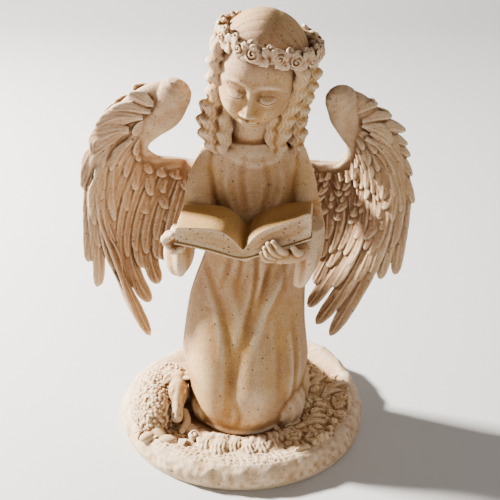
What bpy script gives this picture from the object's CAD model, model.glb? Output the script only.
"""A kneeling child angel in buff cast stone, with a rose wreath, wavy locks and
feathered wings, reading an open book on a round base beside a resting lamb.

Every form is a surface worked out in millimetres: rings of points carried along a path
or round a centre, closed at both ends. Forms that belong together are melted into one
skin. Each skin carries two values that the stone's colouring reads: "hollow", how deep
a point lies between its neighbours, and "upward", how much it faces up.
"""

import math

import bpy
import numpy as np
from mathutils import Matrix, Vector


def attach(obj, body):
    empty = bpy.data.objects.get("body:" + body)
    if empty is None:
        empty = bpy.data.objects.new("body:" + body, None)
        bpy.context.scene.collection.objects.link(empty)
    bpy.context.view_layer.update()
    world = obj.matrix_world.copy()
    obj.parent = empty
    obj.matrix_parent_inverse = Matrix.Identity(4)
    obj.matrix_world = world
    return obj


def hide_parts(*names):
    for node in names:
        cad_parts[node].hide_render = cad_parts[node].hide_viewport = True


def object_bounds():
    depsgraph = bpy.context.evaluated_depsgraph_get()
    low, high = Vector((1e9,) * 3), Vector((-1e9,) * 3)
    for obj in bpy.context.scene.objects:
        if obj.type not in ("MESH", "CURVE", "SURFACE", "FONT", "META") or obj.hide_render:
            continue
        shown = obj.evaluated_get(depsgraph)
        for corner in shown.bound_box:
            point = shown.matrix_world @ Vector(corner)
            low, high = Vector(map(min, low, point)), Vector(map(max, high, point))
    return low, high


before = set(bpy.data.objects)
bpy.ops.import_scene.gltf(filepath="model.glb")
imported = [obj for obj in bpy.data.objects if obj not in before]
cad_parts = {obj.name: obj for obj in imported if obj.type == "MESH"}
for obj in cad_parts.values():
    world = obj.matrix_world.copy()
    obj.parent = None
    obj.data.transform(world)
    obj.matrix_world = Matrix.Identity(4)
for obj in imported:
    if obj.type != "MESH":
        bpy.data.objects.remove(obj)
cad_low, cad_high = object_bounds()

NODE = "kneeling_angel_statue"
MM = 0.001
TURN = 2 * math.pi


# ---------------------------------------------------------------- sums and curves

def hump(x, width, power=2):
    """A rounded hill along one line: exp(-(x / width)^power)."""
    return np.exp(-((x / width) ** power))


def bearings(n):
    """A row of n angles that go evenly round a full turn."""
    return np.linspace(0, TURN, n, endpoint=False)[None]


def shares(n):
    """A column of n numbers that go evenly from 0 to 1."""
    return np.linspace(0, 1, n)[:, None]


def unit(v):
    """Each vector divided by its own length."""
    return v / np.maximum(np.linalg.norm(v, axis=-1, keepdims=True), 1e-9)


def ease(x, low, high):
    """Smooth step: 0 up to low, 1 from high, and 3t^2 - 2t^3 between them."""
    t = np.clip((x - low) / (high - low), 0, 1)
    return t * t * (3 - 2 * t)


def laid(origin, *parts):
    """Points at the origin plus each amount times its own direction."""
    for amount, direction in parts:
        origin = origin + amount[..., None] * direction
    return origin


def spline(points, steps):
    """Points on the Catmull-Rom curve through the given points, evenly by number."""
    p = np.asarray(points, float)
    p = np.vstack([2 * p[0] - p[1], p, 2 * p[-1] - p[-2]])
    t = np.linspace(0, len(p) - 3, steps)
    i = np.minimum(t.astype(int), len(p) - 4)
    f = (t - i)[:, None]
    a, b, c, d = p[i], p[i + 1], p[i + 2], p[i + 3]
    return 0.5 * (2 * b + (c - a) * f + (2 * a - 5 * b + 4 * c - d) * f**2
                  + (3 * b - a - 3 * c + d) * f**3)


def run(values, steps):
    """The spline of a list of plain numbers."""
    return spline(np.asarray(values, float)[:, None], steps)[:, 0]


def at(points, u):
    """Points on the spline through the given points, at u from 0 to 1."""
    fine = spline(points, 400)
    places = np.linspace(0, 1, 400)
    return np.stack([np.interp(u, places, fine[:, k]) for k in range(3)], axis=-1)


def scatter(i, j, k, seed):
    """A repeatable random number from -1 to 1 for each whole-number place."""
    n = (i * 73856093) ^ (j * 19349663) ^ (k * 83492791) ^ (seed * 2654435761)
    n = ((n & 0xFFFFFFFF) ^ ((n & 0xFFFFFFFF) >> 13)) * 1274126177 & 0xFFFFFFFF
    return ((n ^ (n >> 16)) & 0xFFFF) / 32767.5 - 1


def noise(p, size, seed):
    """Random heights on a lattice of that size, blended between its corners."""
    q = np.asarray(p, float) / size
    cell = np.floor(q).astype(np.int64)
    f = q - cell
    f = f * f * (3 - 2 * f)
    total = np.zeros(q.shape[:-1])
    for corner in range(8):
        o = np.array([corner & 1, corner >> 1 & 1, corner >> 2 & 1])
        weight = np.prod(np.where(o, f, 1 - f), axis=-1)
        c = cell + o
        total += weight * scatter(c[..., 0], c[..., 1], c[..., 2], seed)
    return total


def knobs(p, size, seed):
    """Closely set round knobs: 1 less the squared distance to the nearest of one
    random place in every cell of that size, over (0.6 size)^2."""
    q = np.asarray(p, float) / size
    cell = np.floor(q).astype(np.int64)
    nearest = np.full(q.shape[:-1], 9.0)
    for corner in range(27):
        c = cell + np.array([corner % 3 - 1, corner // 3 % 3 - 1, corner // 9 - 1])
        place = c + 0.5 + 0.36 * np.stack([scatter(c[..., 0], c[..., 1], c[..., 2], seed + k)
                                           for k in range(3)], -1)
        nearest = np.minimum(nearest, np.sum((q - place) ** 2, axis=-1))
    return 1 - nearest / 0.36


def bell(x, z, cx, cz, wx, wz):
    """A rounded hill of height 1 round cx, cz: exp(-(dx / wx)^2 - (dz / wz)^2)."""
    return np.exp(-(((x - cx) / wx) ** 2) - ((z - cz) / wz) ** 2)


def turned(yaw, roll, pitch):
    """Rotation matrix: pitch nods about X, roll leans about Y, yaw turns about Z."""
    a, b, c = np.radians([pitch, roll, yaw])
    cos, sin = math.cos, math.sin
    nod = np.array([[1, 0, 0], [0, cos(a), -sin(a)], [0, sin(a), cos(a)]])
    lean = np.array([[cos(b), 0, sin(b)], [0, 1, 0], [-sin(b), 0, cos(b)]])
    swing = np.array([[cos(c), -sin(c), 0], [sin(c), cos(c), 0], [0, 0, 1]])
    return swing @ lean @ nod


# ---------------------------------------------------------------- closed surfaces

def skin(rings):
    """Closes rings (n, m, 3): quads between them, and a fan over each end."""
    n, m = rings.shape[:2]
    verts = np.vstack([rings.reshape(-1, 3), rings[0].mean(0), rings[-1].mean(0)])
    k = np.arange(m)
    after = (k + 1) % m
    rows = np.arange(n - 1)[:, None] * m
    quads = np.stack([rows + k, rows + after, rows + m + after, rows + m + k], -1)
    none = np.full(m, -1)
    first = np.stack([np.full(m, n * m), after, k, none], -1)
    last = np.stack([np.full(m, n * m + 1), (n - 1) * m + k, (n - 1) * m + after, none],
                    -1)
    return facing_out(verts, np.vstack([quads.reshape(-1, 4), first, last]))


def band(rings):
    """Closes rings (n, m, 3) into a ring-shaped skin: the last joins the first."""
    n, m = rings.shape[:2]
    i = np.arange(n)[:, None] * m
    j = (np.arange(n)[:, None] + 1) % n * m
    k = np.arange(m)
    after = (k + 1) % m
    quads = np.stack([i + k, i + after, j + after, j + k], -1).reshape(-1, 4)
    return facing_out(rings.reshape(-1, 3), quads)


def last_corner(faces):
    """Each face's last point: the third of a triangle, the fourth of a quad."""
    return np.where(faces[:, 3] < 0, faces[:, 2], faces[:, 3])


def facing_out(verts, faces):
    """Turns every face round if the volume they enclose comes out negative."""
    a, b, c = verts[faces[:, 0]], verts[faces[:, 1]], verts[faces[:, 2]]
    d = verts[last_corner(faces)]
    volume = np.sum(a * np.cross(b, c)) + np.sum(a * np.cross(c, d))
    if volume < 0:
        corner = faces[:, 1].copy()
        faces = faces.copy()
        faces[:, 1] = last_corner(faces)
        three = faces[:, 3] < 0
        faces[three, 2] = corner[three]
        faces[~three, 3] = corner[~three]
    return verts, faces


def together(shapes):
    """Several shapes as one list of points and one list of faces."""
    verts, faces, count = [], [], 0
    for v, f in shapes:
        verts.append(v)
        faces.append(np.where(f < 0, -1, f + count))
        count += len(v)
    return np.vstack(verts), np.vstack(faces)


def sweep(path, radius, around, ref=(0, 0, 1), flat=1.0):
    """A bar along a path: circles of the given radius, square to the path, and a
    domed end at each side. radius may change along the path and round it; flat
    presses the circles along ref."""
    tangent = unit(np.gradient(path, axis=0))
    side = unit(np.cross(tangent, np.asarray(ref, float)))
    up = np.cross(side, tangent)
    angle = bearings(around)[0]
    radius = np.broadcast_to(np.asarray(radius, float).reshape(len(path), -1),
                             (len(path), around))
    ring = (np.cos(angle)[None, :, None] * side[:, None]
            + flat * np.sin(angle)[None, :, None] * up[:, None])
    body = path[:, None] + radius[..., None] * ring
    dome = np.radians([78, 52, 26])
    reach = radius[0].mean() * np.sin(dome)
    start = (path[0] - reach[:, None] * tangent[0])[:, None] \
        + (np.cos(dome)[:, None] * radius[0])[..., None] * ring[0]
    reach = radius[-1].mean() * np.sin(dome[::-1])
    end = (path[-1] + reach[:, None] * tangent[-1])[:, None] \
        + (np.cos(dome[::-1])[:, None] * radius[-1])[..., None] * ring[-1]
    return skin(np.concatenate([start, body, end]))


def tube(points, radii, steps=48, around=24, ref=(0, 0, 1), flat=1.0):
    """A bar along the spline through the points, its radius splined from end to end."""
    return sweep(spline(points, steps), run(radii, steps), around, ref, flat)


def ball(centre, radii, turn=None, rows=24, columns=36, relief=None):
    """An ellipsoid: height sin and width cos of the latitude, times each radius.
    relief(points) is added along the direction from the centre."""
    lat = np.linspace(-math.pi / 2, math.pi / 2, rows + 2)[1:-1, None]
    lon = bearings(columns)
    out = np.stack([np.cos(lat) * np.cos(lon), np.cos(lat) * np.sin(lon),
                    np.sin(lat) + 0 * lon], -1)
    p = out * np.asarray(radii, float)
    if relief is not None:
        p = p + relief(p)[..., None] * unit(p)
    if turn is not None:
        p = p @ turn.T
    return skin(p + np.asarray(centre, float))


# ---------------------------------------------------------------- meshes

def to_mesh(name, shape):
    """Puts points and faces into a mesh, in metres."""
    verts, faces = shape
    sides = np.where(faces[:, 3] < 0, 3, 4)
    keep = np.arange(4)[None] < sides[:, None]
    mesh = bpy.data.meshes.new(name)
    mesh.vertices.add(len(verts))
    mesh.vertices.foreach_set("co", (verts * MM).ravel())
    mesh.loops.add(int(sides.sum()))
    mesh.loops.foreach_set("vertex_index", faces[keep])
    mesh.polygons.add(len(faces))
    mesh.polygons.foreach_set("loop_start", np.cumsum(sides) - sides)
    mesh.update(calc_edges=True)
    mesh.validate()
    return mesh


def from_mesh(mesh):
    """The points, in millimetres, and the faces of a mesh of triangles and quads."""
    verts = np.zeros(len(mesh.vertices) * 3, np.float32)
    mesh.vertices.foreach_get("co", verts)
    corners = np.zeros(len(mesh.loops), np.int32)
    mesh.loops.foreach_get("vertex_index", corners)
    starts = np.zeros(len(mesh.polygons), np.int32)
    sides = np.zeros(len(mesh.polygons), np.int32)
    mesh.polygons.foreach_get("loop_start", starts)
    mesh.polygons.foreach_get("loop_total", sides)
    place = np.minimum(starts[:, None] + np.arange(4), len(corners) - 1)
    faces = np.where(np.arange(4)[None] < sides[:, None], corners[place], -1)
    return verts.reshape(-1, 3).astype(float) / MM, faces.astype(np.int64)


def shown(name, data):
    """An object of that name and data, put into the scene."""
    obj = bpy.data.objects.new(name, data)
    bpy.context.scene.collection.objects.link(obj)
    return obj


def shaded(mesh, material):
    """Gives a mesh smooth shading and its one material."""
    mesh.polygons.foreach_set("use_smooth", np.ones(len(mesh.polygons), bool))
    mesh.materials.clear()
    mesh.materials.append(material)


def evaluated(mesh, kind, **values):
    """A new mesh made from a mesh by one modifier."""
    holder = shown("holder", mesh)
    change = holder.modifiers.new("change", kind)
    for key, value in values.items():
        setattr(change, key, value)
    bpy.context.view_layer.update()
    graph = bpy.context.evaluated_depsgraph_get()
    made = bpy.data.meshes.new_from_object(holder.evaluated_get(graph))
    bpy.data.objects.remove(holder)
    return made


def without_crumbs(verts, faces, least=400):
    """Leaves out every closed body of fewer faces than that. Each point takes the
    lowest number among its neighbours', and then that point's own, until all points
    of a body share one."""
    here, there = corners_of(faces)
    order = np.argsort(here, kind="stable")
    there = there[order]
    starts = np.searchsorted(here[order], np.arange(len(verts)))
    body, before = np.arange(len(verts)), None
    while before is None or np.any(body != before):
        before = body
        body = np.minimum(body, np.minimum.reduceat(body[there], starts))
        body = body[body]
    large = np.bincount(body[faces[:, 0]], minlength=len(verts)) >= least
    faces = faces[large[body[faces[:, 0]]]]
    number = np.cumsum(large[body]) - 1
    return verts[large[body]], np.where(faces < 0, -1, number[faces])


def melted(shapes, voxel, rounds=0):
    """One skin round overlapping closed shapes, from a voxel remesh of that size,
    smoothed so many times."""
    mesh = to_mesh("melting", together(shapes))
    made = evaluated(mesh, "REMESH", mode="VOXEL", voxel_size=voxel * MM)
    shape = without_crumbs(*from_mesh(made))
    bpy.data.meshes.remove(mesh)
    bpy.data.meshes.remove(made)
    return smoothed(shape, rounds)


def corners_of(faces):
    """Each face's edges as pairs of points, both ways round."""
    last = last_corner(faces)
    a = np.concatenate([faces[:, 0], faces[:, 1], faces[:, 2], last])
    b = np.concatenate([faces[:, 1], faces[:, 2], last, faces[:, 0]])
    real = a != b
    return np.concatenate([a[real], b[real]]), np.concatenate([b[real], a[real]])


def averaged(values, edges, rounds, share=1.0):
    """Each point's values moved by a share towards the mean of its neighbours'."""
    here, there = edges
    count = np.maximum(np.bincount(here, minlength=len(values)), 1)
    for _ in range(rounds):
        mean = np.stack([np.bincount(here, weights=values[there, k],
                                     minlength=len(values)) / count
                         for k in range(values.shape[1])], axis=1)
        values = values + share * (mean - values)
    return values


def normals(verts, faces):
    """At each point, the sum of the faces' area vectors round it, made one long."""
    a, b, c = verts[faces[:, 0]], verts[faces[:, 1]], verts[faces[:, 2]]
    area = np.cross(c - a, verts[last_corner(faces)] - b)
    area[faces[:, 3] < 0] = np.cross(b - a, c - a)[faces[:, 3] < 0]
    total = np.stack([sum(np.bincount(faces[:, j][faces[:, j] >= 0],
                                      weights=area[faces[:, j] >= 0, k],
                                      minlength=len(verts)) for j in range(4))
                      for k in range(3)], axis=1)
    return unit(total)


def smoothed(shape, rounds):
    """Evens out the skin: each round moves points in by half, then back out."""
    verts, faces = shape
    edges = corners_of(faces)
    for _ in range(rounds):
        verts = averaged(verts, edges, 1, 0.5)
        verts = averaged(verts, edges, 1, -0.52)
    return verts, faces


def hollows(verts, faces):
    """How far each point lies below the mean of the points around it, as a number
    from -1 on a ridge to 1 in a groove: half for the near points, at 0.16 mm or
    more, and half for those further off, at 0.9 mm or more."""
    edges = corners_of(faces)
    out = normals(verts, faces)
    near = averaged(verts, edges, 4)
    wide = averaged(near, edges, 26)
    fine = np.sum((near - verts) * out, axis=1)
    broad = np.sum((wide - verts) * out, axis=1)
    value = np.clip(fine / 0.16, -1, 1) * 0.5 + np.clip(broad / 0.9, -1, 1) * 0.5
    return averaged(value[:, None], edges, 1)[:, 0]


def piece(name, shape, material, most=0):
    """A finished piece of the statue: smooth shaded, riding on the one body. Where
    most is given, the flatter faces are merged until that many triangles are left."""
    verts, faces = shape
    verts = verts.copy()
    verts[:, 2] = np.maximum(verts[:, 2], 0)
    mesh = to_mesh(name, (verts, faces))
    for label, values in (("hollow", hollows(verts, faces)),
                          ("upward", normals(verts, faces)[:, 2])):
        mesh.attributes.new(label, "FLOAT", "POINT").data.foreach_set("value", values)
    count = int(np.where(faces[:, 3] < 0, 1, 2).sum())
    if 0 < most < count:
        thin = evaluated(mesh, "DECIMATE", ratio=most / count)
        bpy.data.meshes.remove(mesh)
        mesh = thin
        mesh.name = name
    shaded(mesh, material)
    obj = shown(name, mesh)
    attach(obj, "root")
    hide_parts(NODE)


# ---------------------------------------------------------------- cast stone

def node(tree, kind, **values):
    """A new node with those settings, laid out to the right of the last one."""
    made = tree.nodes.new(kind)
    made.location = (220 * (len(tree.nodes) % 10 - 12), 900 - 300 * (len(tree.nodes) // 10))
    for key, value in values.items():
        setattr(made, key, value)
    return made


def blank(name):
    """A new material, its tree and the tree's Object coordinates."""
    material = bpy.data.materials.new(name)
    material.use_nodes = True
    tree = material.node_tree
    return material, tree, node(tree, "ShaderNodeTexCoord").outputs["Object"]


def plug(tree, socket, value):
    """Gives an input its value: a socket is linked, and a colour gets its alpha."""
    if isinstance(value, bpy.types.NodeSocket):
        tree.links.new(value, socket)
    else:
        socket.default_value = (*value, 1) if isinstance(value, tuple) else value


def feed(tree, made, **values):
    """Gives a node's inputs their values by name, with _ for a space."""
    for key, value in values.items():
        plug(tree, made.inputs[key.replace("_", " ")], value)
    return made


def ramp(tree, source, *stops):
    """A colour ramp over source, from (position, colour) stops, where a plain number
    is a grey."""
    made = feed(tree, node(tree, "ShaderNodeValToRGB"), Fac=source)
    line = made.color_ramp
    while len(line.elements) < len(stops):
        line.elements.new(0.5)
    for element, (position, colour) in zip(line.elements, stops):
        element.position = position
        element.color = (*(colour if isinstance(colour, tuple) else (colour,) * 3), 1)
    return made.outputs["Color"]


def blended(tree, share, first, second, mode="MIX"):
    """Mixes two colours by share, which is a socket or a number."""
    made = node(tree, "ShaderNodeMix", data_type="RGBA", blend_type=mode)
    return feed(tree, made, Factor=share, A=first, B=second).outputs["Result"]


def worked(tree, kind, first, second, clamp=False):
    """One step of arithmetic on two sockets or numbers."""
    made = node(tree, "ShaderNodeMath", operation=kind, use_clamp=clamp)
    for socket, value in zip(made.inputs, (first, second)):
        plug(tree, socket, value)
    return made.outputs["Value"]


def cloud(tree, where, scale, detail, rough):
    """Soft noise at that many features to the metre."""
    made = node(tree, "ShaderNodeTexNoise")
    return feed(tree, made, Vector=where, Scale=scale, Detail=detail,
                Roughness=rough).outputs["Fac"]


def specks(tree, where, scale, size, share):
    """Round dots, 1 in a dot: near the middle of a random share of the cells."""
    cells = feed(tree, node(tree, "ShaderNodeTexVoronoi"), Vector=where, Scale=scale,
                 Randomness=1.0)
    split = feed(tree, node(tree, "ShaderNodeSeparateColor"), Color=cells.outputs["Color"])
    chosen = worked(tree, "LESS_THAN", split.outputs["Red"], share)
    limit = worked(tree, "MULTIPLY", split.outputs["Green"], size)
    inside = worked(tree, "LESS_THAN", cells.outputs["Distance"], limit)
    return worked(tree, "MULTIPLY", inside, chosen)


def cast_stone(name, pale, warm, pink, stain, stained, golden=0.0, reach=0.011):
    """Buff cast stone: mottled between a pale, a warm and a pinkish tone, rust-brown
    in the hollows, paler on worn edges, with sand grain, small pits and dark
    specks under a millimetre across. golden is how far its upper sides have
    yellowed; reach is how wide a gap still counts as sheltered and stains."""
    material, tree, where = blank(name)
    upward, hollow = (node(tree, "ShaderNodeAttribute", attribute_name=label).outputs["Fac"]
                      for label in ("upward", "hollow"))
    drift = cloud(tree, where, 17, 4, 0.6)
    rosy = ramp(tree, drift, (0.44, 0.0), (0.66, 0.75))
    spots = ramp(tree, cloud(tree, where, 380, 2, 0.6), (0.35, 0.0), (0.68, 0.42))
    body = ramp(tree, cloud(tree, where, 42, 6, 0.66), (0.36, warm), (0.64, pale))
    body = blended(tree, rosy, body, pink)
    body = blended(tree, spots, body, warm)
    shelter = feed(tree, node(tree, "ShaderNodeAmbientOcclusion", samples=6), Distance=reach)
    depth = worked(tree, "ADD", worked(tree, "MULTIPLY", hollow, 0.62),
                   worked(tree, "SUBTRACT", 1.0, shelter.outputs["AO"]))
    depth = worked(tree, "ADD", depth, worked(tree, "MULTIPLY", drift, 0.55))
    body = blended(tree, ramp(tree, depth, (0.34, 0.0), (0.66, stained * 0.62),
                              (1.0, stained)), body, stain)
    ridge = worked(tree, "MULTIPLY", hollow, -1.3, True)
    body = blended(tree, worked(tree, "MULTIPLY", ridge, 0.5), body, WORN)
    body = blended(tree, ramp(tree, upward, (0.35, 0.0), (0.8, golden)), body, YELLOWED)
    grain = cloud(tree, where, 1100, 2, 0.75)
    body = blended(tree, 0.42, body, ramp(tree, grain, (0.30, 0.20), (0.72, 0.80)),
                   "OVERLAY")
    dots = worked(tree, "MAXIMUM", specks(tree, where, 300, 0.21, 0.62),
                  worked(tree, "MULTIPLY", specks(tree, where, 560, 0.26, 0.60), 0.7))
    body = blended(tree, worked(tree, "MULTIPLY", dots, 0.86), body, SPECK)
    height = worked(tree, "ADD", cloud(tree, where, 460, 4, 0.65),
                    worked(tree, "MULTIPLY", grain, 0.5))
    height = worked(tree, "SUBTRACT", height, worked(tree, "MULTIPLY", dots, 0.6))
    bump = feed(tree, node(tree, "ShaderNodeBump"), Strength=0.6, Distance=0.0004,
                Height=height)
    feed(tree, tree.nodes["Principled BSDF"], Base_Color=body, Specular_IOR_Level=0.30,
         Roughness=ramp(tree, grain, (0.3, 0.76), (0.8, 0.94)),
         Normal=bump.outputs["Normal"])
    return material


# Colours that the tints share: worn edges, yellowed pages, dark specks, pink and rust
WORN, YELLOWED, SPECK = (0.80, 0.66, 0.47), (0.40, 0.215, 0.040), (0.035, 0.022, 0.022)
PINK, RUST = (0.47, 0.29, 0.20), (0.18, 0.075, 0.022)
stone_figure = cast_stone("cast_stone_figure", (0.50, 0.305, 0.11), (0.35, 0.175, 0.05),
                          PINK, RUST, 0.80)
stone_book = cast_stone("cast_stone_book", (0.52, 0.34, 0.17), (0.43, 0.25, 0.105),
                        (0.47, 0.28, 0.19), RUST, 0.45, 0.8)
stone_wings = cast_stone("cast_stone_wings", (0.50, 0.34, 0.195), (0.36, 0.205, 0.095),
                         (0.38, 0.225, 0.145), (0.15, 0.075, 0.032), 1.0, 0.0, 0.05)
stone_base = cast_stone("cast_stone_base", (0.62, 0.46, 0.28), (0.44, 0.275, 0.13),
                        PINK, RUST, 1.0)
stone_lamb = cast_stone("cast_stone_lamb", (0.50, 0.33, 0.155), (0.38, 0.215, 0.08),
                        (0.46, 0.28, 0.19), RUST, 0.9)
stone_garden = cast_stone("cast_stone_garden", (0.66, 0.48, 0.25), (0.52, 0.33, 0.14),
                          (0.56, 0.37, 0.21), (0.26, 0.13, 0.05), 0.85)

# ---------------------------------------------------------------- gown and sleeves

# Gown from hem to collar: height, centre x, half width, front y, back y
GOWN = (
    (8, -1, 35, -45, 42), (18, 1, 39.5, -48, 43), (30, 2, 42.5, -49.5, 44),
    (48, 3, 44.5, -49, 44), (62, 1.5, 45, -45, 44), (80, 1.5, 43, -39, 44),
    (99, 3, 41, -32, 43), (115, 5.5, 38.5, -26, 41), (130, 7, 34.5, -20, 38),
    (145, 8, 31, -16, 35), (165, 8, 29, -15, 33), (185, 8, 30, -15, 33),
    (204, 8, 32, -16, 31), (215, 8, 27, -17, 27), (222, 8, 18, -15, 20),
)
# Folds on its front: height out (+) or in (-), width, and x, z along each
FOLDS = (
    (5.0, 13.0, ((-24, 105), (-26, 75), (-25, 45), (-22, 25))),
    (6.0, 13.0, ((14, 105), (12, 75), (10, 45), (8, 25))),
    (-2.2, 4.4, ((17, 128), (6, 100), (-2, 76), (-8, 52), (-10, 34))),
    (-1.7, 3.2, ((-32, 138), (-22, 122), (-14, 102), (-9, 80), (-9, 58))),
    (1.2, 3.2, ((-30, 131), (-21, 114), (-14, 94), (-13, 74))),
    (1.3, 4.2, ((-14, 130), (-4, 106), (-1, 84), (-3, 60))),
    (1.8, 3.4, ((34, 134), (24, 120), (14, 104), (8, 86))),
    (-1.8, 3.6, ((24, 100), (26, 70), (27, 40))),
    (-1.3, 2.1, ((10, 148), (10, 130), (7, 112), (2, 96))),
    (1.1, 2.2, ((14, 146), (13, 124), (8, 106))),
    (-1.2, 2.2, ((24, 146), (17, 126), (10, 110))),
    (-1.1, 2.1, ((33, 148), (30, 132), (29, 118))),
    (-1.0, 2.2, ((-6, 146), (-10, 132), (-14, 120))),
    (-0.9, 1.8, ((1, 147), (-1, 134), (-4, 122))),
    (1.2, 3.0, ((-33, 122), (-37, 100), (-38, 76))),
    (-1.4, 2.4, ((36, 96), (39, 70), (38, 44))),
    (1.6, 2.2, ((33, 84), (35, 56), (32, 34))),
    (1.4, 1.8, ((38, 90), (41, 62), (39, 36))),
    (-1.2, 2.4, ((-6, 46), (-2, 34), (-4, 24))),
    (-0.8, 2.4, ((2, 214), (0, 196), (3, 176))),
    (-0.75, 2.2, ((15, 212), (18, 194), (14, 176))),
    (0.7, 2.6, ((-9, 208), (-10, 190), (-4, 172))),
    (0.7, 2.6, ((26, 208), (27, 190), (21, 172))),
    (0.6, 2.4, ((-12, 216), (0, 210), (10, 208), (22, 211), (30, 217))),
)


def fold_height(x, z):
    """How far the folds stand out at each x, z: for each fold, its height times
    exp(-(distance to its line / width)^2), tapering to both ends of the line."""
    total = np.zeros_like(x)
    for height, width, points in FOLDS:
        line = spline(points, 36)
        taper = np.sin(math.pi * np.linspace(0.1, 0.9, 36)) ** 0.8
        gap = np.hypot(x[..., None] - line[:, 0], z[..., None] - line[:, 1])
        near = np.argmin(gap, axis=-1)
        total += height * taper[near] * hump(gap.min(axis=-1), width)
    return total


def gown():
    """Egg-shaped rings from hem to collar: half an ellipse in front and half behind.
    Outwards go the folds, upright flutes at the back (cosines of 9 and 17 times the
    bearing) and a rolled hem, a rounded hill round height 18.5."""
    z, middle, half, front, back = (c[:, None] for c in spline(GOWN, 230).T)
    around = bearings(300)
    side, along = np.cos(around), np.sin(around)
    x = middle + half * side
    y = 6 + np.where(along < 0, 6 - front, back - 6) * along
    height = z + 0 * side
    out = fold_height(x, height) * np.clip(-along, 0, 1) ** 0.5
    rear = ease(along, -0.25, 0.25) * ease(-z, -196, -150)
    sway = 0.5 * np.sin(z / 26 + 2 * around)
    out += rear * (1.5 * np.cos(9 * around + sway) + 0.9 * np.cos(17 * around - z / 60))
    out += 1.3 * hump(z - 18.5, 2.4)
    return skin(np.stack([x + out * side, y + out * along, height], -1))


def cuff(stations):
    """A hanging sleeve end: ellipses down its length, with four flutes as a cosine of
    the bearing that set in below height 168 and are full at 150."""
    x, y, z, wide, deep = (c[:, None] for c in spline(stations, 60).T)
    around = bearings(72)
    swell = 1 + 0.12 * np.cos(4 * around + 0.08 * z) * ease(-z, -168, -150)
    return skin(np.stack([x + wide * swell * np.cos(around),
                          y + deep * swell * np.sin(around), z + 0 * around], -1))


def sleeve(points, radii):
    """The upper arm and forearm in a wide sleeve: a bar along the arm with three soft
    folds winding down it and creases across at the elbow, both as cosines."""
    steps = 110
    angle = bearings(48)
    t = shares(steps)
    crease = hump(t - 0.52, 0.16) * np.cos(34 * t + np.cos(angle))
    drape = 0.5 * np.cos(3 * angle + 6 * t) * ease(t, 0.15, 0.5)
    return sweep(spline(points, steps), run(radii, steps)[:, None] + 0.22 * crease
                 + drape, 48)


def foot(x):
    """A bare foot behind the gown: a flattened bar that leans outwards, and five
    toes side by side, the outermost the largest."""
    lean = math.copysign(3, x - 4)
    shapes = [tube([(x, 56, 21), (x, 63, 22.5), (x + lean, 70, 20.5),
                    (x + 1.6 * lean, 77, 18.5), (x + 1.8 * lean, 80, 17)],
                   [9, 8.6, 7.2, 7.4, 5.0], 30, 36, (1, 0, 0), 0.8)]
    for k in range(5):
        out = x + 1.8 * lean + math.copysign(5.6 - 2.7 * k, lean)
        size = 1.9 if k else 2.6
        shapes.append(tube([(out, 78, 17.2), (out, 82.5 - 0.6 * abs(k - 1), 15.6)],
                           [size, 0.85 * size], 8, 14))
    return shapes


def collar():
    """A rolled collar: a circle of radius 1.1 carried round an oval that rises
    towards the back."""
    angle, section = bearings(90)[0], bearings(14)[..., None]
    line = np.c_[8 + 18.5 * np.cos(angle), 1.5 + 16.5 * np.sin(angle),
                 222.0 + 3.0 * np.sin(angle)]
    outward = np.c_[np.cos(angle), np.sin(angle), 0 * angle]
    return band(line[:, None] + 1.1 * (np.cos(section) * outward[:, None]
                                       + np.sin(section) * [0, 0, 1]))


# Lines of the two wing roots, the two lower legs under the gown, and the two arms
ROOTS = (((15, 12, 172), (26, 24, 180), (37, 34, 184), (49, 38.5, 185)),
         ((1, 12, 172), (-10, 24, 180), (-24, 34, 185), (-38, 38.5, 186)))
LEGS = (((-18, -20, 26), (-18, 16, 26), (-14, 44, 23), (-10, 62, 21)),
        ((26, -20, 26), (27, 16, 26), (23, 44, 23), (18, 62, 21)))
ARMS = (((-15, 10, 206), (-24, 8, 188), (-29, 2, 169), (-34, -12, 159), (-40, -28, 159)),
        ((31, 10, 205), (38, 8, 187), (42, 2, 169), (45, -12, 161), (46, -30, 161)))
# Cuffs from the top down: centre x, y, z, half width and half depth
CUFFS = (
    ((-40, -26, 168, 7, 12), (-41.5, -28, 158, 9.3, 13), (-42, -31, 148, 9, 13),
     (-42, -33, 141, 6.5, 10), (-42, -34, 137.5, 3, 5), (-42, -34, 136.5, 1, 2)),
    ((46.5, -30, 173, 8.5, 13), (46, -33, 163, 8.6, 14), (45, -35, 152, 7.6, 14),
     (42.5, -36, 142, 6.6, 12), (39.5, -36, 133, 4.5, 8), (38, -36, 129.6, 2, 4)),
)


def figure():
    """The gown, a knee, the back drawn out into the wing roots, the feet, the gown
    over the lower legs, the sleeves and cuffs, the neck and the collar, melted."""
    shapes = [gown(), ball((39, 0, 30), (11, 17, 22))]
    shapes += [tube(root, [21, 14.4, 8.2, 5.0]) for root in ROOTS]
    shapes += foot(-9) + foot(17)
    shapes += [tube(leg, [20, 20, 16, 9]) for leg in LEGS]
    shapes.append(ball((5, 36, 24), (38, 34, 20)))
    shapes += [sleeve(ARMS[0], [14, 13, 12.5, 11, 9]),
               sleeve(ARMS[1], [14, 13, 12.5, 11.5, 10])]
    shapes += [cuff(stations) for stations in CUFFS]
    shapes += [tube([(8, 8, 208), (7, 1, 226), (8, -7, 244)], [17, 14, 14]), collar()]
    return melted(shapes, 0.95, 2)


# ---------------------------------------------------------------- book and hands

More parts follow.
